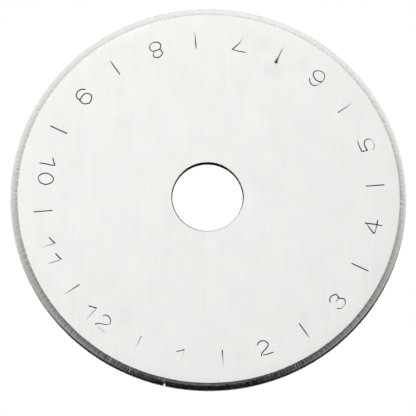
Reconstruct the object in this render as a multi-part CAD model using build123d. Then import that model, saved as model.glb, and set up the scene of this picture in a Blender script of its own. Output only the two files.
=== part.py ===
from build123d import *
from math import radians, tan
import os

# Rotary cutter blade: one hardened steel disc, ground from both faces to a sharp
# rim at mid thickness, with a plain pivot bore and index lines on its upper face.
# The origin is on the bore axis at the lower face, and +Z runs out of the marked face.
# All sizes are in millimetres and degrees.

# Disc
blade_diameter = 45.0
blade_thickness = 0.65

# Pivot bore
bore_diameter = 8.1
bore_edge_break = 0.06

# Cutting rim, a wide grind and a steeper honed edge on each face
grind_width = 0.7
hone_width = 0.12
hone_angle = 35.0

# Index lines, cut by a pointed tool
index_count = 12
index_inset = 2.6
index_length = 2.0
index_width = 0.14
index_depth = 0.03
index_start_angle = 6.5

# Values that follow from the sizes above
blade_radius = blade_diameter / 2
bore_radius = bore_diameter / 2
hone_radius = blade_radius - hone_width
flat_radius = hone_radius - grind_width
hone_rise = hone_width * tan(radians(hone_angle))
edge_height = blade_thickness / 2
index_inner_radius = blade_radius - index_inset - index_length


def blade_section():
    """Half section of the disc, from the bore wall out to the cutting edge."""
    outline = Polyline(
        (bore_radius, 0),
        (flat_radius, 0),
        (hone_radius, edge_height - hone_rise),
        (blade_radius, edge_height),
        (hone_radius, edge_height + hone_rise),
        (flat_radius, blade_thickness),
        (bore_radius, blade_thickness),
        close=True,
    )
    return make_face(Plane.XZ * outline)


def ground_disc():
    """The section turned about the bore axis, with both bore edges broken."""
    disc = revolve(blade_section(), Axis.Z)
    rims = disc.edges().filter_by(GeomType.CIRCLE).sort_by(SortBy.RADIUS)
    bore_rims = rims[:2]
    return chamfer(bore_rims, bore_edge_break)


def index_line():
    """V-shaped cutter for one index line on the X axis, widening above the face."""
    tool_section = Polyline(
        (-index_width, index_depth),
        (index_width, index_depth),
        (0, -index_depth),
        close=True,
    )
    inner_end = Plane(
        origin=(index_inner_radius, 0, blade_thickness),
        x_dir=(0, 1, 0),
        z_dir=(1, 0, 0),
    )
    return extrude(make_face(inner_end * tool_section), index_length)


def index_ring():
    """All the index lines, evenly spaced round the face."""
    line = index_line()
    step = 360 / index_count
    angles = [index_start_angle + step * number for number in range(index_count)]
    return [Rot(0, 0, angle) * line for angle in angles]


def blade():
    """The finished blade."""
    return ground_disc() - index_ring()


os.makedirs("parts", exist_ok=True)
export_step(blade(), "parts/blade.step")
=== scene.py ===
import math
from functools import partial

import bpy
import numpy as np
from bpy.props import FloatProperty, FloatVectorProperty, PointerProperty
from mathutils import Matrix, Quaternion, Vector
from mathutils.geometry import delaunay_2d_cdt


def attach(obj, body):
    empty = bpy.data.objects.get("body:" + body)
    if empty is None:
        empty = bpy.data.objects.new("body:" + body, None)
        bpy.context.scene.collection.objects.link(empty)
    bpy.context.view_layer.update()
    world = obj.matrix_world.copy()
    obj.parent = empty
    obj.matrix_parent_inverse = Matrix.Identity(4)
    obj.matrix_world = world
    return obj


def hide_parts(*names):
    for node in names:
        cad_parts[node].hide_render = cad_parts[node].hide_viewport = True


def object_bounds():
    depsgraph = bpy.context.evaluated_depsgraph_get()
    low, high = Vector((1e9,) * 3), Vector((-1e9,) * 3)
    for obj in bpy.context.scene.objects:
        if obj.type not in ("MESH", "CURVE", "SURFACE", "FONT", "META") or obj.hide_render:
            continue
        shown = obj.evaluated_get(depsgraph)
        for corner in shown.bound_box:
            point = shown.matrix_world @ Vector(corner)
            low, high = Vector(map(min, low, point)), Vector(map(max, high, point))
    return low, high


bl_info = {
    "name": "Rotary cutter blade",
    "version": (1, 0, 0),
    "blender": (4, 5, 0),
    "location": "View3D > Sidebar > Blade",
    "description": "Dresses the ground steel blade of a rotary cutter and sets it on a pale floor",
    "category": "Add Mesh",
}

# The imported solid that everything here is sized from
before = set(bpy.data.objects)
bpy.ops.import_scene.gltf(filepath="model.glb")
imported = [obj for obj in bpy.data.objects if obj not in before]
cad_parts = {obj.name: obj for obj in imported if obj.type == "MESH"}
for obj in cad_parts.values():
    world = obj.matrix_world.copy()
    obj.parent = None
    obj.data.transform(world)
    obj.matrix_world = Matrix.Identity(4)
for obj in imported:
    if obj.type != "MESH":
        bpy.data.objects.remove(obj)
cad_low, cad_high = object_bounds()
BLADE_NODE = "blade"
MM = 0.001

# Heights this near are level, and rings this far apart are two
LEVEL_WITHIN = 0.001 * MM
RINGS_APART = 0.05 * MM


def node_rings(name):
    """Radii and heights in metres of the turned section's corners, read from the solid's vertices.

    The flat's rim is the largest radius at the top, and the honed line is the largest between that
    and the cutting edge. The edge itself is where the solid's box ends on its nearest side.
    """
    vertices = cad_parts[name].data.vertices
    flat = np.empty(len(vertices) * 3, np.float32)
    vertices.foreach_get("co", flat)
    points = flat.reshape(-1, 3).astype(float)
    radii = np.hypot(points[:, 0], points[:, 1])
    top = points[:, 2].max()
    edge = radii.max()
    reach = min(abs(value) for corner in (cad_low, cad_high) for value in corner[:2])
    at_top = radii[points[:, 2] > top - LEVEL_WITHIN]
    flat_rim = at_top.max()
    between = (radii > flat_rim + RINGS_APART) & (radii < edge - RINGS_APART) & (points[:, 2] > top / 2)
    honed = radii[between].max()
    return {
        "top": top,
        "edge": reach,
        "flat_rim": flat_rim,
        "honed": honed,
        "honed_slope": (points[between, 2].mean() - top / 2) / (edge - honed),
        "bore": radii.min(),
        "bore_rim": at_top.min(),
    }


SECTION = node_rings(BLADE_NODE)

# Numbers of the blade's materials
FACE, GRIND, BORE, HONED = range(4)

# The next three tables are in hundredths of a millimetre, or of full pressure
HUNDREDTHS = 100

# Strokes of each numeral about its own middle. A stroke is a smooth line through its points, given as
# x and y in turn: x runs the way the numbers rise and y points at the bore.
NUMERALS = {
    "0": ((-13, 87, 34, 71, 60, 28, 67, -3, 55, -52, 27, -76, -9, -86, -40, -64, -65, -15, -59, 34,
        -40, 68, -13, 87),),
    "1": (
        (-62, 51, -22, 67, 16, 87),
        (18, 86, 22, 40, 19, -10, 21, -85),
    ),
    "2": (
        (-67, 54, -52, 74, -13, 84, 27, 69, 47, 38, 44, 12, 15, -13, -35, -41, -56, -56, -70, -82),
        (-41, -77, -7, -85, 42, -83, 70, -85),
    ),
    "3": (
        (-62, 57, -41, 80, -12, 91, 22, 82, 44, 69, 51, 48, 41, 22),
        (-15, 8, 13, 10, 34, 17),
        (41, 22, 44, -2, 59, -20, 68, -39, 63, -54, 44, -79, 7, -91, -30, -89, -52, -74, -68, -52),
    ),
    "4": (
        (20, 96, 23, 37, 26, -24, 23, -95),
        (16, 83, -5, 61, -43, 25, -77, -15),
        (-80, -25, -37, -35, 25, -36, 80, -35),
    ),
    "5": (
        (-58, 78, 1, 84, 50, 84, 81, 81),
        (-60, 78, -64, 54, -66, 24),
        (-67, 15, -42, 20, -12, 25, 22, 20, 50, -2, 57, -29, 47, -57, 13, -78, -30, -84, -61, -69, -80,
         -51),
    ),
    "6": ((64, 55, 36, 83, -1, 95, -35, 83, -59, 49, -69, 11, -71, -25, -59, -68, -22, -95, 24, -92,
        58, -68, 72, -34, 51, 3, -1, 21, -47, 12, -66, -6),),
    "7": (
        (-78, 93, -19, 95, 45, 91, 76, 83),
        (79, 85, 45, 40, 14, -1, 2, -28, -10, -59, -22, -96),
    ),
    "8": (
        (-43, 16, -55, 47, -37, 78, 6, 93, 43, 81, 55, 59, 46, 31, 36, 13),
        (3, 7, 40, 5, 62, -18, 65, -45, 46, -79, 3, -93, -40, -81, -64, -52, -59, -18, -40, 3, 3, 7),
    ),
    "9": (
        (21, 95, -22, 85, -56, 62, -65, 38, -56, 4, -29, -18, 8, -22, 42, -16, 61, -12),
        (21, 95, 54, 68, 71, 41, 69, 10, 65, -21, 64, -52, 48, -79, 21, -92, -4, -96, -41, -82, -62,
         -64, -72, -48),
    ),
}

# The marks in turn round the ring. A numeral has its shift from its place on the ring, then how hard
# each of its strokes was pressed, from start to end.
MARKS = (
    (("1", 32, -15, ((50, 60, 75), (20, 8, 0))),),
    (("2", 7, 8, ((75, 80, 75), (70, 75, 65))),),
    (("3", 18, -23, ((70, 75, 90), (35, 45, 60), (85, 80, 75, 20, 35, 60))),),
    (("4", 6, -25, ((100, 95, 85, 55), (10, 75, 80, 100), (80, 40, 45, 95, 60))),),
    (("5", -13, -32, ((90, 75, 70, 15), (75, 65), (100, 80, 65, 60, 10, 30, 40))),),
    (("6", -30, -6, ((60, 75, 65, 20, 40, 50, 50, 55, 70, 75, 70, 75),)),),
    (("7", -36, 10, ((45, 65, 50, 60), (85, 70, 50, 15, 5))),),
    (("8", -34, 27, ((75, 70, 75, 70, 30), (75, 65, 60, 35, 75, 85, 70, 75))),),
    (("9", 4, 27, ((80, 85, 75, 85, 95), (80, 75, 85, 80, 80, 85))),),
    (
        ("1", -78, 6, ((75, 80, 95), (70, 75, 80, 70))),
        ("0", 114, 21, ((70, 75, 80, 75, 45, 75, 80, 75, 70),)),
    ),
    (("1", -98, -30, ((90, 90, 100), (45, 25, 5))), ("1", 106, -25, ((95, 80, 90), (30, 40, 35, 5)))),
    (
        ("1", -143, -19, ((75, 70, 100), (30, 35, 25, 15))),
        ("2", 59, -4, ((50, 75, 65, 30, 50, 50, 80), (10, 20, 12))),
    ),
)

# How hard each index line was pressed, from its inner to its outer end
LINE_PRESSURE = (
    (80, 45, 20, 0), (80, 85, 65, 10), (80, 80, 85, 70), (75, 70, 75, 85), (65, 50, 35, 5),
    (100, 60, 45, 10), (60, 80, 40, 10), (75, 85, 75, 10), (85, 90, 85, 85), (80, 70, 70, 75),
    (70, 60, 35, 10), (42, 32, 10, 0),
)

# The sixth index line has rust at its inner end, over so many millimetres
STAINED_LINE = 5
STAIN_LENGTH = 0.5

# Small chips in the cutting edge and in the inner limit of the grind: degrees round from +X, then
# depth and length in millimetres
EDGE_CHIPS = ((-101.0, 0.3, 0.15), (-31.0, 0.02, 0.12))
GRIND_NICKS = ((117.2, 0.09, 0.3),)

# Faint smudges on the marked face: middle and reach in millimetres, and how grey
SMUDGES = (
    ((6.9, 15.4), 1.7, 0.05), ((6.2, 18.4), 1.3, 0.03), ((10.6, 16.2), 1.2, 0.025),
    ((10.1, 9.4), 1.5, 0.03), ((-10.0, 8.0), 2.2, 0.025), ((3.4, 13.0), 1.3, 0.02),
    ((-9.0, -14.5), 1.8, 0.02),
)

# Spots on the bore's upper edge where the painted shade is left off: middle and reach in millimetres,
# and how far
UNSHADED_SPOTS = (((-3.5, 2.1), 1.8, 0.7), ((3.2, 2.7), 2.4, 0.7))

# The way across the bore from where its upper edge is left bare steel to where it keeps its painted
# shade.
# In millimetres: where the bare steel fades along it, how ragged that is, and how far below the face
# the bare steel begins and is full. Then what it adds to the roughness.
UNSHADED_BACKWARD = (-0.5, 0.866, 0)
UNSHADED_RANGE = (-3.2, -1.6)
UNSHADED_RAGGED = 0.8
UNSHADED_DROP = (0.07, 0.05)
UNSHADED_ROUGHNESS = -0.4

# Thin dark strips are wider than the solid's, because a render averages them away
HONE_SHOWN = 1.2
BREAK_SHOWN = 1.75

# Points round the cutting edge and the bore
RIM_STEPS = 2880
BORE_STEPS = 360

# Rings across the grind, as shares of its width. Waves are in steps round the rim: the stray of the
# grind's limits, the fine and coarse scratches, and the patches that make them stronger and weaker.
GRIND_SHARES = (0.0, 0.12, 0.3, 0.5, 0.7, 0.88, 1.0)
RIM_SEED = 45
WANDER_WAVES = (40, 6)
FINE_WANDER = 0.5
HONED_WANDER = 0.4
SCRATCH_WAVES = (3, 9)
COARSE_SCRATCH = 1.2
PATCH_WAVE = 50
PATCH_DEPTH = 0.6
PATCH_LIMITS = (0.2, 2.0)
PEAK_HEIGHT = 1.1
SCRATCH_FALL = 1.25
CHIP_WALL = 0.01 * MM

# Drawing the marked flat, in millimetres: points along a stroke, points over the flat, and how far
# those stay from a stroke. The lightest stroke's width is a share of a full one's.
STROKE_STEP = 0.07
FLAT_STEP = 1.2
FLAT_CLEAR = 0.3
LIGHT_STROKE = 0.6
END_POINTS = 7
FILL_INSIDE = 1
MERGE_WITHIN = 1e-6
SHARP_TURN = math.radians(0.2)

# A noise has its waves a metre, or a radian round the axis, then its layers and what each counts
# beside the one before. Patterns of the face: the grain and its broad bands, both drawn out along Y,
# the clouds, the breaks in the smudges and the rust's ragged edge. The first three make the tone.
GRAIN_LEAN = math.radians(4)
GRAIN_WAVES = (5200, 210, 210)
GRAIN_NOISE = (1.0, 3.0, 0.65)
BAND_WAVES = (1300, 90, 90)
BAND_NOISE = (1.0, 2.0, 0.5)
CLOUD_NOISE = (330.0, 5.0, 0.6)
BROKEN_NOISE = (900.0, 3.0, 0.6)
RAGGED_NOISE = (5200.0, 3.0, 0.5)
GRAIN_TONE, BAND_TONE, CLOUD_TONE = 0.45, 0.15, 0.4

# The range of tone that shows, and how bright the steel is and what its roughness gains at both ends.
# Then how dark a smudge is, how it breaks up, where a cut shows dark, and what that adds.
TONE_RANGE = (0.3, 0.7)
FACE_TINT = (0.97, 1.03)
FACE_GLOSS = (0.015, -0.015)
FACE_BUMP = 0.35
GRAIN_HEIGHT = 0.002 * MM
SMUDGE_TINT = 0.2
SPOT_CORE = 0.3
BROKEN_RANGE = (0.35, 0.65)
BROKEN_SHARE = (0.3, 1.7)
CUT_SHOWS = (0.02, 0.45)
MARK_ROUGHNESS = 0.3

# The rust in millimetres: how ragged it is, how far it tapers, and where the brown stain and the dark
# spot begin to fade and have gone
RUST_RAGGED = 0.08
RUST_TAPER = 0.09
STAIN_FADE = (0.1, 0.42)
SPOT_FADE = (0.1, 0.19)
STAIN_STRENGTH = 0.35

# Patterns of the rim: scratches and patches, how fast they change across it, what the scratches count
# in the tone, and how bright and how rough the steel is over its range
SCRATCH_NOISE = (120.0, 3.0, 0.6)
RIM_PATCH_NOISE = (60.0, 2.0, 0.5)
RIM_ACROSS = 22.0
SCRATCH_TONE = 0.8
RIM_TONE_RANGE = (0.36, 0.64)
RIM_TINT = (0.94, 1.045)
RIM_GLOSS = (1.35, 0.8)
RIM_DRAWN_OUT = 0.85
OUTER_BUMP = 0.35

# Patterns of the bore's painted shade: drag lines and specks, then the same
DRAG_NOISE = (60.0, 3.0, 0.6)
SPECK_NOISE = (9000.0, 2.0, 0.5)
DRAG_TONE = 0.6
DRAG_BUMP = 0.3
DRAG_HEIGHT = 0.004 * MM
BORE_TONE_RANGE = (0.35, 0.7)
BORE_TINT = (0.7, 2.2)
BORE_ROUGHNESS = (0.9, 0.7)

# The studio as the steel mirrors it. A soft box has its direction from the blade and its width, a glint
# its strength too. Widths are measured between unit directions.
CAMERA_OPENING = (0.03, -0.44, 0.897)
OPENING_REACH = (0.22, 1.25)
OPENING_POWER = 1.27
MAIN_BOX = ((-0.12, 0.43, 0.88), 0.38)
FACE_BOX = ((-0.06, 0.33, 0.942), 0.15)
TOP_BOX = ((0.0, 0.12, 0.99), 0.2)
GLINTS = (
    ((0.0, -0.3, 0.954), 0.075, 0.75), ((-0.5, -0.26, 0.826), 0.2, 0.2),
    ((-0.592, 0.273, 0.758), 0.3, 0.1), ((0.46, -0.32, 0.828), 0.2, 0.09),
    ((0.0, 0.93, 0.37), 0.35, 0.15),
)
FAINT = 0.04
LEVEL_LEAN = (0, 0.25, 1.0)
CEILING_LEVEL = (0.57, 0.64)
CARD_LEVEL = 0.4
CARD_EDGE = (0.08, 0.13)
CARD_BACKWARD = (-0.15, 1.0, 0)
CARD_FADE = (-0.42, 0.18)
FRONT_SHADE = ((0.0, -0.64, 0.77), 0.4)

# How near and how far the camera sees, in metres
CLIP_RANGE = (0.05, 20.0)


def in_mm(name, description, default):
    """A length to set. Its default is in millimetres."""
    return FloatProperty(name=name, description=description, default=default * MM, unit="LENGTH")


def shift_in_mm(name, description, default):
    """A shift along X and Y to set. Its default is in millimetres."""
    metres = [value * MM for value in default]
    return FloatVectorProperty(
        name=name, description=description, default=metres, subtype="XYZ", unit="LENGTH", size=2)


def in_degrees(name, description, default):
    """An angle to set. Its default is in degrees."""
    return FloatProperty(
        name=name, description=description, default=math.radians(default), subtype="ANGLE")


def colour_of(name, description, default):
    """A colour to set."""
    return FloatVectorProperty(
        name=name, description=description, default=default, subtype="COLOR", size=3)


def amount(name, description, default, most=10.0):
    """A plain number to set, from nothing to the most that makes sense."""
    subtype = "FACTOR" if most == 1 else "NONE"
    return FloatProperty(
        name=name, description=description, default=default, min=0.0, max=most, subtype=subtype)


class BladeSizes(bpy.types.PropertyGroup):
    """Sizes of what the dressed blade has beyond the plain solid."""

    ring_radius: in_mm("Mark ring", "Radius at the middle of the marks", 18.75)
    first_line: in_degrees("First line", "Where the first index line lies, round from +X", -83.5)
    ring_shift: shift_in_mm("Line shift", "From the rim's middle to that of the lines", (0.09, -0.08))
    line_inner: in_mm("Line inner reach", "From the mark ring to a line's inner end", 0.87)
    line_outer: in_mm("Line outer reach", "From the mark ring to a line's outer end", 1.15)
    groove_width: in_mm("Groove width", "Width of a full stroke at the face", 0.18)
    groove_depth: in_mm("Groove depth", "Depth of a full stroke", 0.03)
    scratch_depth: in_mm("Scratch depth", "Depth of the grinding scratches across the rim", 0.0058)
    rim_wander: in_mm("Rim wander", "How far the inner limit of the grind strays", 0.008)
    grind_crown: in_mm("Grind crown", "How far the wide grind bulges at its middle", 0.024)
    roll_width: in_mm("Roll width", "How far in from the grind the face begins to roll off", 0.3)
    roll_drop: in_mm("Roll drop", "How far the face has rolled off where the grind begins", 0.004)
    hone_width: in_mm(
        "Hone width", "Width of the honed strip, seen from above",
        HONE_SHOWN * (SECTION["edge"] - SECTION["honed"]) / MM)
    # This sets the bore wall in, and the wall's near-black colour on it is painted shade.
    bore_wall_inset: in_mm("Scale layer", "Thickness of the dark scale on the bore wall", 0.045)
    bore_shift: shift_in_mm("Bore shift", "From the rim's middle to that of the bore", (-0.09, 0.09))
    edge_break: in_mm(
        "Bore edge break", "Width of the broken edge round the bore",
        BREAK_SHOWN * (SECTION["bore_rim"] - SECTION["bore"]) / MM)
    grind_shift: shift_in_mm(
        "Grind shift", "From the rim's middle to that of the grind's inner limit", (0.045, 0.02))


class BladeFinish(bpy.types.PropertyGroup):
    """Colours and roughness of the blade's surfaces."""

    face_colour: colour_of("Face", "Satin steel of the two faces", (0.88, 0.872, 0.852))
    grind_colour: colour_of("Grind", "Ground steel of the rim", (0.793, 0.788, 0.76))
    # Painted shade: the bore wall's near-black colour stands in for the dark that the steel wall
    # mirrors.
    bore_shade_colour: colour_of("Bore wall", "Dark hardening scale on the bore wall", (0.008, 0.008, 0.008))
    mark_colour: colour_of("Marks", "Dark grey in the bottom of the marks", (0.03, 0.03, 0.028))
    rust_colour: colour_of("Rust", "Brown stain round the rusted mark", (0.35, 0.22, 0.08))
    scratch_bump: in_mm("Scratch bump", "Depth of the finest scratches on the rim", 0.012)
    hone_bump: in_mm("Hone bump", "Depth of the finest scratches on the honed strip", 0.002)
    face_roughness: amount("Face roughness", "Roughness of the faces", 0.3, 1.0)
    grind_roughness: amount("Grind roughness", "Roughness of the rim", 0.14, 1.0)
    hone_roughness: amount("Hone roughness", "Roughness of the honed strip", 0.1, 1.0)


class StageSettings(bpy.types.PropertyGroup):
    """Floor, light and camera."""

    floor_colour: colour_of("Floor", "Pale floor", (0.9, 0.9, 0.9))
    floor_glow: amount("Floor glow", "What the camera sees of the floor beyond its own light", 0.05)
    lamp_strength: amount("Lamp", "How bright the lamp makes a white floor", 1.055)
    lamp_angle: in_degrees("Lamp spread", "How wide the lamp looks from the blade", 5)
    lamp_tilt: in_degrees("Lamp tilt", "Between the lamp and the upright, to the rear", 2.5)
    floor_half_span: in_mm("Floor half span", "From the middle of the floor to its edge", 3000.0)
    soft_box: amount("Soft box", "Strength of the soft box overhead, as the steel mirrors it", 1.42)
    face_box: amount("Face box", "Strength of the small soft box that the marked face mirrors", 0.57)
    view_tilt: in_degrees("View tilt", "Between the camera's line of sight and the blade's axis", 15.84)
    view_roll: in_degrees("View roll", "How far the camera is turned about its own line of sight", 1.83)
    view_distance: in_mm("View distance", "From the camera to the blade", 839.7)
    aim_drop: in_mm("Aim drop", "How far in front of the bore the camera is aimed", 1.218)
    lens: amount("Lens", "Focal length on a 36 mm sensor, in millimetres", 640.6, 5000.0)


def periodic_noise(count, wavelength, generator):
    """Smooth noise round a ring, of about unit size.

    White noise is taken to its Fourier series, the waves shorter than wavelength, in steps, are faded
    out by a bell curve, and the sum is scaled to a standard deviation of one.
    """
    waves = np.fft.rfft(generator.normal(size=count))
    order = np.arange(len(waves))
    cutoff = count / wavelength
    waves *= np.exp(-(order / cutoff) ** 2)
    waves[0] = 0
    noise = np.fft.irfft(waves, count)
    return noise / noise.std()


def smooth_line(points, spacing):
    """Points along a smooth line through the given ones, about spacing apart.

    Between two neighbours the line is the Catmull-Rom cubic, whose slope at each point is half the way
    from the point before to the point after. The ends use their mirrored neighbours.
    """
    given = np.array(points, float)
    closed = np.allclose(given[0], given[-1])
    before = given[-2] if closed else 2 * given[0] - given[1]
    after = given[1] if closed else 2 * given[-1] - given[-2]
    padded = np.vstack([before, given, after])
    spans = np.linalg.norm(np.diff(given, axis=0), axis=1)
    per_span = max(2, int(np.ceil(spans.max() / spacing)))
    along = (np.arange(per_span) / per_span)[None, :, None]
    a, b, c, d = padded[:-3, None], padded[1:-2, None], padded[2:-1, None], padded[3:, None]
    cubic = 0.5 * (
        2 * b + (c - a) * along + (2 * a - 5 * b + 4 * c - d) * along**2
        + (3 * b - a - 3 * c + d) * along**3
    )
    return np.vstack([cubic.reshape(-1, 2), given[-1:]])


def stroke(points, pressure):
    """One groove: its middle line in millimetres, and how hard it was pressed at each point of it.

    The pressure levels are spread evenly over the line's length and joined by straight runs.
    """
    line = smooth_line(points, STROKE_STEP)
    length = np.concatenate([[0], np.cumsum(np.linalg.norm(np.diff(line, axis=0), axis=1))])
    levels = np.linspace(0, length[-1], len(pressure))
    return line, np.interp(length, levels, np.array(pressure) / HUNDREDTHS)


def place_on_ring(line, angle, radius):
    """Points of a mark on the blade: x runs round the ring, y from the ring towards the bore."""
    outward = np.array([np.cos(angle), np.sin(angle)])
    around = np.array([-np.sin(angle), np.cos(angle)])
    return radius * outward + line[:, :1] * around - line[:, 1:] * outward


def all_strokes(sizes):
    """Every groove of the numerals and index lines, as its middle line and its pressure."""
    radius = sizes.ring_radius / MM
    step = 2 * np.pi / len(MARKS)
    made = []
    for number, mark in enumerate(MARKS):
        angle = sizes.first_line + step * (number - 0.5)
        for numeral, x, y, pressures in mark:
            for points, pressure in zip(NUMERALS[numeral], pressures):
                line, pressed = stroke(np.reshape(points, (-1, 2)) / HUNDREDTHS, pressure)
                moved = line + (x / HUNDREDTHS, y / HUNDREDTHS)
                made.append((place_on_ring(moved, angle, radius), pressed))
    ring_shift = np.array(sizes.ring_shift) / MM
    reach = ((0.0, sizes.line_inner / MM), (0.0, -sizes.line_outer / MM))
    for number, pressure in enumerate(LINE_PRESSURE):
        line, pressed = stroke(reach, pressure)
        angle = sizes.first_line + step * number
        made.append((place_on_ring(line, angle, radius) + ring_shift, pressed))
    return made


def groove_half_width(pressed, half_width):
    """A lighter stroke is narrower: the width grows evenly with the pressure to a full stroke's."""
    return half_width * (LIGHT_STROKE + (1 - LIGHT_STROKE) * pressed)


def groove_outline(line, pressed, half_width):
    """Closed outline of one groove: offsets to both sides of its middle line, joined by round ends.

    The normal is the tangent turned by a quarter. Each end is half a circle.
    """
    tangent = np.gradient(line, axis=0)
    tangent /= np.linalg.norm(tangent, axis=1, keepdims=True)
    normal = np.stack([-tangent[:, 1], tangent[:, 0]], 1)
    half = groove_half_width(pressed, half_width)[:, None]
    turn = np.linspace(0, np.pi, END_POINTS)[1:-1, None]
    far_end = line[-1] + half[-1] * (np.cos(turn) * normal[-1] + np.sin(turn) * tangent[-1])
    near_end = line[0] - half[0] * (np.cos(turn) * normal[0] + np.sin(turn) * tangent[0])
    left = line + half * normal
    right = (line - half * normal)[::-1]
    return np.vstack([left, far_end, right, near_end])


def cut_depth(points, strokes, half_width):
    """How deep the tool went at each point, from 0 at the face to 1 at the bottom of a full stroke.

    A groove is a V: its depth at a point is the pressure at the nearest place on the middle line, times
    one less the distance to it over the half width there. Where grooves cross, the deepest holds.
    """
    depth = np.zeros(len(points))
    for line, pressed in strokes:
        low = line.min(0) - half_width
        high = line.max(0) + half_width
        near = np.flatnonzero(((points > low) & (points < high)).all(1))
        start, run = line[:-1], np.diff(line, axis=0)
        offset = points[near, None] - start[None]
        along = np.clip((offset * run).sum(2) / (run * run).sum(1), 0, 1)
        away = np.linalg.norm(offset - along[..., None] * run, axis=2)
        level = pressed[:-1] + along * np.diff(pressed)
        profile = level * (1 - away / groove_half_width(level, half_width))
        depth[near] = np.maximum(depth[near], profile.max(1))
    return depth


def chain(count, first, closed):
    """Edges that join count points in a row or, closed, in a ring. The first has the number first."""
    index = np.arange(count if closed else count - 1)
    return np.stack([index, (index + 1) % count], 1) + first


def spread_points(inner, outer, clear_of):
    """Loose points over the flat between two radii, so that its triangles stay well shaped.

    Rings of evenly spaced points, with every second ring turned by half a step. Points close to a
    groove are left out.
    """
    radii = np.linspace(inner, outer, int((outer - inner) / FLAT_STEP) + 2)[1:-1]
    rings = []
    for number, radius in enumerate(radii):
        count = int(2 * np.pi * radius / FLAT_STEP)
        angle = 2 * np.pi * (np.arange(count) + 0.5 * (number % 2)) / count
        rings.append(radius * np.stack([np.cos(angle), np.sin(angle)], 1))
    points = np.vstack(rings)
    if len(clear_of):
        apart = np.linalg.norm(points[:, None] - clear_of[None], axis=2).min(1)
        points = points[apart > FLAT_CLEAR]
    return points


def flat_with_grooves(outer_ring, inner_ring, strokes, half_width):
    """Points in millimetres and triangles of a flat ring, creased along every groove.

    Its two outlines, the middle line and outline of each groove and the loose points go into one
    constrained Delaunay triangulation. Triangles that fill the bore are dropped.
    """
    parts = [outer_ring, inner_ring]
    edges = [chain(len(outer_ring), 0, True), chain(len(inner_ring), len(outer_ring), True)]
    count = len(outer_ring) + len(inner_ring)
    for line, pressed in strokes:
        outline = groove_outline(line, pressed, half_width)
        parts += [line, outline]
        edges += [chain(len(line), count, False), chain(len(outline), count + len(line), True)]
        count += len(line) + len(outline)
    grooves = np.vstack(parts[2:]) if strokes else np.empty((0, 2))
    bore = np.linalg.norm(inner_ring, axis=1).max()
    rim = np.linalg.norm(outer_ring, axis=1).min()
    parts.append(spread_points(bore, rim, grooves))
    points, _, faces, _, _, _ = delaunay_2d_cdt(
        np.vstack(parts).tolist(), np.vstack(edges).tolist(), [], FILL_INSIDE, MERGE_WITHIN, False)
    points = np.array(points)
    faces = np.array(faces)
    on_bore = (faces >= len(outer_ring)) & (faces < len(outer_ring) + len(inner_ring))
    return points, faces[~on_bore.all(1)]


def ring_points(radius, height, angles):
    """A ring of points about the axis. radius and height may differ from point to point."""
    height = np.broadcast_to(height, angles.shape)
    return np.stack([radius * np.cos(angles), radius * np.sin(angles), height], 1)


def band_faces(number):
    """Four-sided faces between neighbouring rings. number holds the points' numbers, a row a ring."""
    here, there = number, np.roll(number, -1, axis=1)
    return np.stack([here[:-1], here[1:], there[1:], there[:-1]], 2).reshape(-1, 4)


def notches(angles, table, radius):
    """V notches in a ring: each is deepest at its middle and falls straight to nothing."""
    depths = np.zeros(len(angles))
    for degrees, depth, length in table:
        away = (angles - math.radians(degrees) + np.pi) % (2 * np.pi) - np.pi
        depths += depth * MM * np.clip(1 - 2 * np.abs(away) / (length / radius * MM), 0, 1)
    return depths


def scratch_profile(count, generator):
    """Heights of the grinding scratches round the rim, of about unit size.

    Fine and coarse noise are added, and broad noise makes their sum stronger and weaker.
    """
    fine, coarse = (periodic_noise(count, wave, generator) for wave in SCRATCH_WAVES)
    patches = 1 + PATCH_DEPTH * periodic_noise(count, PATCH_WAVE, generator)
    return (fine + COARSE_SCRATCH * coarse) * np.clip(patches, *PATCH_LIMITS)


def scratch_fade(share):
    """How deep the scratches are across the grind: nothing at both ends, and most near the flat.

    It is the root of half a sine wave times a straight fall.
    """
    return math.sin(math.pi * share) ** 0.5 * (SCRATCH_FALL - share) if 0 < share < 1 else 0.0


def rim_rings(sizes, angles):
    """The ground rim from the upper flat round the cutting edge to the lower flat.

    First the flat rolls off a little. Across the grind the height falls straight to the honed line,
    plus a low crown (a parabola that is zero at both ends) and radial scratches, whose peaks are cut
    off. Their profile changes evenly from one at the flat to another at the honed line. The honed strip
    falls straight to the edge. A chip in the edge stops the grind short and leaves a steep wall. The
    lower side mirrors the upper one.
    """
    generator = np.random.default_rng(RIM_SEED)
    count = len(angles)
    top, middle = SECTION["top"], SECTION["top"] / 2
    edge = SECTION["edge"] - notches(angles, EDGE_CHIPS, SECTION["edge"])
    nick = notches(angles, GRIND_NICKS, SECTION["flat_rim"])
    shift_x, shift_y = sizes.grind_shift
    limit = SECTION["flat_rim"] + shift_x * np.cos(angles) + shift_y * np.sin(angles)
    rings = []
    for side in (1, -1):
        broad, fine = (periodic_noise(count, wave, generator) for wave in WANDER_WAVES)
        wander = broad + FINE_WANDER * fine
        inner = limit + sizes.rim_wander * wander - nick
        honed = SECTION["edge"] - sizes.hone_width + HONED_WANDER * sizes.rim_wander * wander
        honed_height = middle + (SECTION["edge"] - honed) * SECTION["honed_slope"]
        whole = (edge - CHIP_WALL - inner) / (honed - inner)
        near, far = (scratch_profile(count, generator) for _ in range(2))
        upper = [ring_points(limit - sizes.roll_width, top, angles)]
        for share in GRIND_SHARES:
            scratch = np.minimum((1 - share) * near + share * far, PEAK_HEIGHT)
            reach = np.minimum(share, whole)
            fall = sizes.roll_drop + (top - sizes.roll_drop - honed_height) * reach
            crown = 4 * sizes.grind_crown * reach * (1 - reach)
            height = top - fall + crown + sizes.scratch_depth * scratch_fade(share) * scratch
            upper.append(ring_points(inner + (honed - inner) * reach, height, angles))
        edge_ring = ring_points(edge, middle, angles)
        upper.append((upper[-1] + edge_ring) / 2)
        if side == 1:
            rings += upper + [edge_ring]
        else:
            rings += [ring * (1, 1, -1) + (0, 0, top) for ring in reversed(upper)]
    return rings


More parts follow.
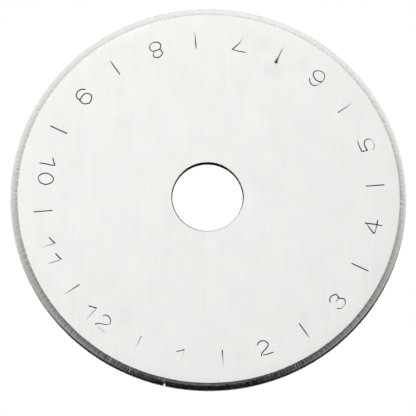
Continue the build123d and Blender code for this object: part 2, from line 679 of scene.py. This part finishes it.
def bore_rings(sizes, angles):
    """The bore from the lower flat up to the upper one: edge break, straight wall, edge break."""
    top, edge_break = SECTION["top"], sizes.edge_break
    wall = SECTION["bore"] - sizes.bore_wall_inset
    corners = (
        (wall + edge_break, 0.0), (wall, edge_break), (wall, top / 2), (wall, top - edge_break),
        (wall + edge_break, top))
    shift = (*sizes.bore_shift, 0)
    return [ring_points(radius, height, angles) + shift for radius, height in corners]


def share_outline(faces, outline, count):
    """A flat's triangles in the numbers of the whole mesh.

    Its first points are its outline and take the numbers in outline. The rest follow on from count.
    """
    numbers = np.arange(faces.max() + 1) - len(outline) + count
    numbers[:len(outline)] = outline
    return numbers[faces]


def blade_mesh(sizes):
    """The whole closed surface of the blade, with its material numbers and the depth of its marks.

    The rim and the bore are grids of rings. The marked and the plain flat are filled in between their
    end rings and share those points. The marked one is lowered by the depth of its grooves.
    """
    rim = rim_rings(sizes, np.linspace(0, 2 * np.pi, RIM_STEPS, endpoint=False))
    bore = bore_rings(sizes, np.linspace(0, 2 * np.pi, BORE_STEPS, endpoint=False))
    half_width = sizes.groove_width / MM / 2
    strokes = all_strokes(sizes)
    marked, marked_faces = flat_with_grooves(
        rim[0][:, :2] / MM, bore[-1][:, :2] / MM, strokes, half_width)
    plain, plain_faces = flat_with_grooves(
        rim[-1][:, :2] / MM, bore[0][:, :2] / MM, [], half_width)
    outline = RIM_STEPS + BORE_STEPS
    depth = cut_depth(marked[outline:], strokes, half_width)
    points = np.vstack([
        *rim,
        *bore,
        np.column_stack([marked[outline:] * MM, SECTION["top"] - sizes.groove_depth * depth]),
        np.column_stack([plain[outline:] * MM, np.zeros(len(plain) - outline)]),
    ])
    rim_number = np.arange(len(rim) * RIM_STEPS).reshape(len(rim), -1)
    bore_number = rim_number.size + np.arange(len(bore) * BORE_STEPS).reshape(len(bore), -1)
    upper_outline = np.concatenate([rim_number[0], bore_number[-1]])
    lower_outline = np.concatenate([rim_number[-1], bore_number[0]])
    ring_count = rim_number.size + bore_number.size
    parts = (
        band_faces(rim_number),
        band_faces(bore_number),
        share_outline(marked_faces, upper_outline, ring_count),
        share_outline(plain_faces, lower_outline, ring_count + len(depth))[:, ::-1],
    )
    mesh = bpy.data.meshes.new("ground_blade")
    mesh.from_pydata(points, [], [face for part in parts for face in part.tolist()])
    grind = (len(GRIND_SHARES) - 1) * [GRIND]
    rim_bands = [FACE] + grind + 4 * [HONED] + grind + [FACE]
    material = np.concatenate([
        np.repeat(rim_bands, RIM_STEPS),
        np.repeat((BORE, FACE, FACE), [len(part) for part in parts[1:]]),
    ])
    mesh.polygons.foreach_set("material_index", material.astype(np.int32))
    cut = np.zeros(len(points), np.float32)
    cut[ring_count:ring_count + len(depth)] = depth
    mesh.attributes.new("cut", "FLOAT", "POINT").data.foreach_set("value", cut)
    crease_rings(mesh, rim_number, bore_number)
    return mesh


def crease_rings(mesh, rim_number, bore_number):
    """Smooth shading, with hard edges at the grooves and where the section turns a corner.

    Edges are hard by angle on the flats, and along the section's corners on the rim and in the bore.
    """
    mesh.shade_smooth()
    mesh.set_sharp_from_angle(angle=SHARP_TURN)
    ends = np.empty(len(mesh.edges) * 2, np.int32)
    mesh.edges.foreach_get("vertices", ends)
    ends = ends.reshape(-1, 2)
    ring = np.full(len(mesh.vertices), -1)
    ring[rim_number] = np.arange(len(rim_number))[:, None]
    ring[bore_number] = len(rim_number) + np.arange(len(bore_number))[:, None]
    corner = np.zeros(len(mesh.vertices), bool)
    # The limits of the grind, the cutting edge and the bore's edge breaks
    edge_ring = len(rim_number) // 2
    corner[rim_number[[1, edge_ring - 2, edge_ring, edge_ring + 2, -2]]] = True
    corner[bore_number[[0, 1, 3, 4]]] = True
    hard = np.empty(len(ends), bool)
    sharp = mesh.attributes["sharp_edge"].data
    sharp.foreach_get("value", hard)
    on_rings = (ring[ends] >= 0).all(1)
    along = ring[ends[:, 0]] == ring[ends[:, 1]]
    hard[on_rings] = (along & corner[ends[:, 0]])[on_rings]
    sharp.foreach_set("value", hard)


def add_node(kind, inputs, tree=None, **settings):
    """The outputs of a new shader node. An input is given a value, or is linked to another's output.

    The node goes into the given tree, or else into that of the first output that it is linked to.
    """
    links = [value for value in inputs.values() if isinstance(value, bpy.types.NodeSocket)]
    tree = tree or links[0].id_data
    made = tree.nodes.new("ShaderNode" + kind)
    for name, value in settings.items():
        setattr(made, name, value)
    for name, value in inputs.items():
        if value in links:
            tree.links.new(value, made.inputs[name])
        else:
            made.inputs[name].default_value = value
    return made.outputs


def math_node(operation, *values, clamp=False):
    """The result of one sum on up to three values."""
    return add_node("Math", dict(enumerate(values)), operation=operation, use_clamp=clamp)[0]


def vector_node(operation, *values):
    """The result of one vector sum."""
    made = add_node("VectorMath", dict(enumerate(values)), operation=operation)
    return made["Value" if operation in ("LENGTH", "DISTANCE", "DOT_PRODUCT") else "Vector"]


times, times_plus, plus, minus, greater = (
    partial(math_node, kind) for kind in ("MULTIPLY", "MULTIPLY_ADD", "ADD", "SUBTRACT", "MAXIMUM"))
distance, dot = partial(vector_node, "DISTANCE"), partial(vector_node, "DOT_PRODUCT")


def mix_colour(share, first, second):
    """A colour between two, by share. The node's colours are the sockets with these numbers."""
    return add_node("Mix", {0: share, 6: first, 7: second}, data_type="RGBA")[2]


def remap(value, low, high, to_low, to_high, smooth=False):
    """A value carried from one range to another and held inside it."""
    kind = "SMOOTHSTEP" if smooth else "LINEAR"
    inputs = {0: value, 1: low, 2: high, 3: to_low, 4: to_high}
    return add_node("MapRange", inputs, interpolation_type=kind, clamp=True)[0]


def noise(vector, scale, detail, roughness):
    """Three-dimensional noise, from 0 to 1."""
    inputs = {"Vector": vector, "Scale": scale, "Detail": detail, "Roughness": roughness}
    return add_node("TexNoise", inputs)["Fac"]


def shade(colour, factor=1.0):
    """A colour made lighter or darker, with the alpha that a socket wants."""
    return tuple(channel * factor for channel in colour) + (1.0,)


def toned(share, colour, tints):
    """A colour that runs between two tints of itself, by share."""
    return mix_colour(share, *(shade(colour, tint) for tint in tints))


def empty_tree(owner):
    """The node tree of a new material or world, with nothing in it."""
    owner.use_nodes = True
    owner.node_tree.nodes.clear()
    return owner.node_tree


def new_material(name):
    """A material whose only node gives the object's own coordinates, and that node's output."""
    material = bpy.data.materials.new(name)
    return material, add_node("TexCoord", {}, empty_tree(material))["Object"]


def steel_shader(inputs):
    """Ends a material: the shader takes the given inputs and is joined to the output."""
    add_node("OutputMaterial", {"Surface": add_node("BsdfPrincipled", inputs)[0]})


def bumped(strength, distance, height):
    """The normal of a surface whose height follows a pattern."""
    inputs = {"Strength": strength, "Distance": distance, "Height": height}
    return add_node("Bump", inputs)[0]


def round_axis(place):
    """A place's direction from the axis, and its radius."""
    flat = vector_node("MULTIPLY", place, (1, 1, 0))
    return vector_node("NORMALIZE", flat), vector_node("LENGTH", flat)


def stretched(place, waves, lean=0):
    """A place turned about Z and measured in waves along each axis."""
    inputs = {"Vector": place, "Rotation": (0, 0, lean), "Scale": waves}
    return add_node("Mapping", inputs)[0]


def stained_run(sizes):
    """Where the rust spot starts, at the inner end of its index line, and how it runs outwards."""
    angle = sizes.first_line + 2 * math.pi * STAINED_LINE / len(LINE_PRESSURE)
    radius = sizes.ring_radius - sizes.line_inner
    outward = Vector((math.cos(angle), math.sin(angle), 0))
    start = radius * outward + Vector((*sizes.ring_shift, SECTION["top"]))
    return start, STAIN_LENGTH * MM * outward


def soft_spots(place, spots):
    """The sum of round spots on the upper face. Each falls smoothly from its strength to nothing."""
    total = 0.0
    for (x, y), reach, strength in spots:
        away = distance(place, (x * MM, y * MM, SECTION["top"]))
        total = plus(
            total, remap(away, SPOT_CORE * reach * MM, reach * MM, strength, 0.0, smooth=True))
    return total


def face_material(finish, sizes):
    """Satin steel with a fine straight grain, faint clouds and smudges, dark marks and a rust spot.

    The grain is noise stretched along Y. The marks read how deep the tool went. The rust spot is a
    distance from a short line that counts for more further along it, with an edge broken up by noise.
    """
    material, place = new_material("satin_steel_face")
    grain = noise(stretched(place, GRAIN_WAVES, GRAIN_LEAN), *GRAIN_NOISE)
    bands = noise(stretched(place, BAND_WAVES), *BAND_NOISE)
    clouds = noise(place, *CLOUD_NOISE)
    tone = times_plus(grain, GRAIN_TONE, times(bands, BAND_TONE))
    tone = times_plus(clouds, CLOUD_TONE, tone)
    steel = toned(remap(tone, *TONE_RANGE, 0, 1), finish.face_colour, FACE_TINT)
    broken = remap(noise(place, *BROKEN_NOISE), *BROKEN_RANGE, *BROKEN_SHARE)
    grey = times(soft_spots(place, SMUDGES), broken)
    steel = mix_colour(grey, steel, shade(finish.face_colour, SMUDGE_TINT))

    start, run = stained_run(sizes)
    forward = dot(vector_node("SUBTRACT", place, start), run)
    along = math_node("DIVIDE", forward, (STAIN_LENGTH * MM) ** 2, clamp=True)
    nearest = vector_node("MULTIPLY_ADD", along, run, start)
    ragged = times_plus(noise(place, *RAGGED_NOISE), 2 * RUST_RAGGED * MM, -RUST_RAGGED * MM)
    away = times_plus(along, RUST_TAPER * MM, plus(distance(place, nearest), ragged))
    stain, spot = (
        remap(away, begins * MM, gone * MM, strength, 0.0, smooth=True)
        for (begins, gone), strength in ((STAIN_FADE, STAIN_STRENGTH), (SPOT_FADE, 1.0)))

    cut = add_node("Attribute", {}, material.node_tree, attribute_name="cut")["Fac"]
    mark = greater(remap(cut, *CUT_SHOWS, 0.0, 1.0), spot)
    colour = mix_colour(stain, steel, shade(finish.rust_colour))
    roughness = remap(tone, *TONE_RANGE, *(finish.face_roughness + by for by in FACE_GLOSS))
    steel_shader({
        "Metallic": 1.0,
        "Base Color": mix_colour(mark, colour, shade(finish.mark_colour)),
        "Roughness": times_plus(mark, MARK_ROUGHNESS, roughness),
        "Normal": bumped(FACE_BUMP, GRAIN_HEIGHT, grain),
    })
    return material


def ground_material(name, finish, base, scratch_bump):
    """Ground steel with radial scratches, of a given roughness and depth of scratch.

    The direction from the axis is a point on a unit circle, so noise on it runs round the blade with
    no seam. The radius, weakly scaled, is the third coordinate, so a scratch is long across the rim
    and narrow round it. They are deepest near the flat. The gloss is drawn out across the scratches.
    """
    material, place = new_material(name)
    around, radius = round_axis(place)
    lift = add_node("CombineXYZ", {"Z": times(radius, RIM_ACROSS)})[0]
    polar = vector_node("ADD", around, lift)
    scratches = noise(polar, *SCRATCH_NOISE)
    patches = times(noise(polar, *RIM_PATCH_NOISE), 1 - SCRATCH_TONE)
    tone = times_plus(scratches, SCRATCH_TONE, patches)
    share = remap(tone, *RIM_TONE_RANGE, 0, 1)
    inner_first = remap(radius, SECTION["flat_rim"], SECTION["honed"], 1.0, OUTER_BUMP)
    steel_shader({
        "Metallic": 1.0,
        "Base Color": toned(share, finish.grind_colour, RIM_TINT),
        "Roughness": remap(tone, *RIM_TONE_RANGE, *(base * gloss for gloss in RIM_GLOSS)),
        "Normal": bumped(inner_first, scratch_bump, scratches),
        "Tangent": vector_node("CROSS_PRODUCT", (0, 0, 1), around),
        "Anisotropic": RIM_DRAWN_OUT,
    })
    return material


def bore_material(finish):
    """Painted shade in the bore: near-black with upright drag lines, left off the front of its upper
    edge.

    The lines are noise on the unit circle, as on the rim, drawn out along Z. The bare steel is the
    greater of a soft step across the bore, broken up by the same lines, and soft spots, times a step
    along Z.
    """
    material, place = new_material("painted_shade_bore_wall")
    around, _ = round_axis(place)
    lines = noise(around, *DRAG_NOISE)
    specks = times(noise(place, *SPECK_NOISE), 1 - DRAG_TONE)
    tone = times_plus(lines, DRAG_TONE, specks)
    # Painted shade: the bore wall's dark colour, varied by the drag lines.
    scale = toned(remap(tone, *BORE_TONE_RANGE, 0, 1), finish.bore_shade_colour, BORE_TINT)
    backward = times_plus(lines, UNSHADED_RAGGED * MM, dot(place, UNSHADED_BACKWARD))
    front = remap(backward, *(end * MM for end in UNSHADED_RANGE), 1.0, 0.0, smooth=True)
    height = add_node("SeparateXYZ", {"Vector": place})["Z"]
    upper = remap(height, *(SECTION["top"] - drop * MM for drop in UNSHADED_DROP), 0.0, 1.0)
    # Bare steel where the painted shade is left off: the front of the upper edge and two spots.
    unshaded = times(greater(front, soft_spots(place, UNSHADED_SPOTS)), upper)
    rough = remap(tone, *BORE_TONE_RANGE, *BORE_ROUGHNESS)
    steel_shader({
        "Metallic": unshaded,
        "Base Color": mix_colour(unshaded, scale, shade(finish.face_colour)),
        "Roughness": times_plus(unshaded, UNSHADED_ROUGHNESS, rough),
        "Specular IOR Level": 0.0,
        "Normal": bumped(DRAG_BUMP, DRAG_HEIGHT, lines),
    })
    return material


def floor_material(stage):
    """Matt pale floor that takes shadows, and that the camera and reflections see as white."""
    material = bpy.data.materials.new("pale_floor")
    tree = empty_tree(material)
    matt = add_node("BsdfDiffuse", {"Color": shade(stage.floor_colour)}, tree)[0]
    rays = add_node("LightPath", {}, tree)
    seen = greater(rays["Is Camera Ray"], rays["Is Glossy Ray"])
    seen = greater(seen, rays["Is Transmission Ray"])
    strength = times(seen, stage.floor_glow)
    glow = add_node("Emission", {"Color": (1, 1, 1, 1), "Strength": strength})[0]
    add_node("OutputMaterial", {"Surface": add_node("AddShader", {0: matt, 1: glow})[0]})
    return material


def sky_lamp(direction, middle, width, strength):
    """A soft lamp: a bell curve of the distance from its middle, cut off where it is faint."""
    away = math_node("DIVIDE", distance(direction, middle), width)
    square = times(away, away)
    falloff = math_node("EXPONENT", times(square, -1.0))
    lit = times_plus(falloff, strength, -FAINT * strength)
    return greater(lit, 0.0)


def add_world(stage):
    """The studio that the steel mirrors. The camera sees white, and the floor has its own lamp.

    Overhead the light darkens towards the opening that the camera looks through, as a power of the
    distance from it. Soft boxes are bell curves about their own directions, and the brightest holds.
    Below a level that is higher in front, the walls are white. A black card stands on them as a band
    and fades from front to back, and a soft shade darkens the front.
    """
    world = bpy.data.worlds.new("studio")
    bpy.context.scene.world = world
    tree = empty_tree(world)
    direction = add_node("TexCoord", {}, tree)["Generated"]

    opening = distance(direction, CAMERA_OPENING)
    ceiling = math_node("POWER", remap(opening, *OPENING_REACH, 0.0, 1.0), OPENING_POWER)
    for glint in GLINTS:
        ceiling = plus(ceiling, sky_lamp(direction, *glint))
    main_box = sky_lamp(direction, *MAIN_BOX, stage.soft_box)
    face_box = sky_lamp(direction, *FACE_BOX, stage.face_box)
    boxes = greater(plus(main_box, face_box), sky_lamp(direction, *TOP_BOX, 1.0))
    ceiling = greater(ceiling, boxes)

    level = dot(direction, LEVEL_LEAN)
    overhead = remap(level, *CEILING_LEVEL, 0.0, 1.0, smooth=True)
    light = times_plus(overhead, minus(ceiling, 1.0), 1.0)

    off_card = math_node("ABSOLUTE", minus(level, CARD_LEVEL))
    card = remap(off_card, *CARD_EDGE, 1.0, 0.0, smooth=True)
    frontward = dot(direction, CARD_BACKWARD)
    card = times(card, remap(frontward, *CARD_FADE, 1.0, 0.0))
    light = times(light, minus(1.0, card))
    light = times(light, minus(1.0, sky_lamp(direction, *FRONT_SHADE, 1.0)))

    seen = add_node("LightPath", {}, tree)["Is Camera Ray"]
    inputs = {"Color": (1, 1, 1, 1), "Strength": greater(light, seen)}
    background = add_node("Background", inputs)[0]
    add_node("OutputWorld", {"Surface": background})
    world.cycles_visibility.diffuse = False


def add_camera(stage):
    """The camera, in front of and above the blade."""
    top = SECTION["top"]
    tilt = stage.view_tilt
    place = Vector((0, -math.sin(tilt), math.cos(tilt))) * stage.view_distance + Vector((0, 0, top))
    target = Vector((0, -stage.aim_drop, top))
    camera_data = bpy.data.cameras.new("photo_camera")
    camera_data.lens = stage.lens
    camera_data.clip_start, camera_data.clip_end = CLIP_RANGE
    camera = bpy.data.objects.new("photo_camera", camera_data)
    camera.location = place
    camera.rotation_mode = "QUATERNION"
    roll = Quaternion((0, 0, 1), stage.view_roll)
    camera.rotation_quaternion = (target - place).to_track_quat("-Z", "Y") @ roll
    bpy.context.scene.collection.objects.link(camera)
    bpy.context.scene.camera = camera


def add_floor(stage):
    """A square floor at the height of the blade's lower face."""
    span = stage.floor_half_span
    corners = [(-span, -span, 0), (span, -span, 0), (span, span, 0), (-span, span, 0)]
    mesh = bpy.data.meshes.new("floor")
    mesh.from_pydata(corners, [], [(0, 1, 2, 3)])
    mesh.materials.append(floor_material(stage))
    floor = bpy.data.objects.new("floor", mesh)
    bpy.context.scene.collection.objects.link(floor)


def add_lamp(stage):
    """A soft lamp almost straight overhead, which the steel doesn't mirror."""
    lamp_data = bpy.data.lights.new("overhead_lamp", "SUN")
    lamp_data.energy = stage.lamp_strength * math.pi
    lamp_data.angle = stage.lamp_angle
    lamp = bpy.data.objects.new("overhead_lamp", lamp_data)
    lamp.rotation_euler = (-stage.lamp_tilt, 0, 0)
    lamp.visible_glossy = False
    bpy.context.scene.collection.objects.link(lamp)


class BLADE_OT_add_blade(bpy.types.Operator):
    """Build the ground blade with its marks and finishes"""

    bl_idname = "rotary_blade.add_blade"
    bl_label = "Add Blade"

    def execute(self, context):
        sizes = context.scene.blade_sizes
        finish = context.scene.blade_finish
        mesh = blade_mesh(sizes)
        for material in (
            face_material(finish, sizes),
            ground_material("ground_steel_rim", finish, finish.grind_roughness, finish.scratch_bump),
            bore_material(finish),
            ground_material("honed_steel_edge", finish, finish.hone_roughness, finish.hone_bump),
        ):
            mesh.materials.append(material)
        blade = bpy.data.objects.new("ground_blade", mesh)
        context.scene.collection.objects.link(blade)
        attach(blade, "root")
        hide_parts(BLADE_NODE)
        return {"FINISHED"}


class BLADE_OT_add_stage(bpy.types.Operator):
    """Add the floor, the studio light and the camera"""

    bl_idname = "rotary_blade.add_stage"
    bl_label = "Add Stage"

    def execute(self, context):
        stage = context.scene.blade_stage
        add_floor(stage)
        add_lamp(stage)
        add_world(stage)
        context.scene.view_settings.view_transform = "Standard"
        add_camera(stage)
        return {"FINISHED"}


class BLADE_PT_panel(bpy.types.Panel):
    """Sizes, finishes and buttons for the blade"""

    bl_idname = "BLADE_PT_panel"
    bl_label = "Rotary Cutter Blade"
    bl_space_type = "VIEW_3D"
    bl_region_type = "UI"
    bl_category = "Blade"

    def draw(self, context):
        column = self.layout.column()
        for group in SETTINGS:
            settings = getattr(context.scene, group)
            for name in settings.__annotations__:
                column.prop(settings, name)
        column.operator(BLADE_OT_add_blade.bl_idname)
        column.operator(BLADE_OT_add_stage.bl_idname)


SETTINGS = {"blade_sizes": BladeSizes, "blade_finish": BladeFinish, "blade_stage": StageSettings}
CLASSES = (*SETTINGS.values(), BLADE_OT_add_blade, BLADE_OT_add_stage, BLADE_PT_panel)


def register():
    """Registers the classes and hangs the settings on the scene."""
    for kind in CLASSES:
        bpy.utils.register_class(kind)
    for name, kind in SETTINGS.items():
        setattr(bpy.types.Scene, name, PointerProperty(type=kind))


def unregister():
    """Takes the settings and the classes away again."""
    for name in SETTINGS:
        delattr(bpy.types.Scene, name)
    for kind in reversed(CLASSES):
        bpy.utils.unregister_class(kind)


def main():
    """Builds the blade and the stage."""
    register()
    bpy.ops.rotary_blade.add_blade()
    bpy.ops.rotary_blade.add_stage()


if __name__ == "__main__":
    main()
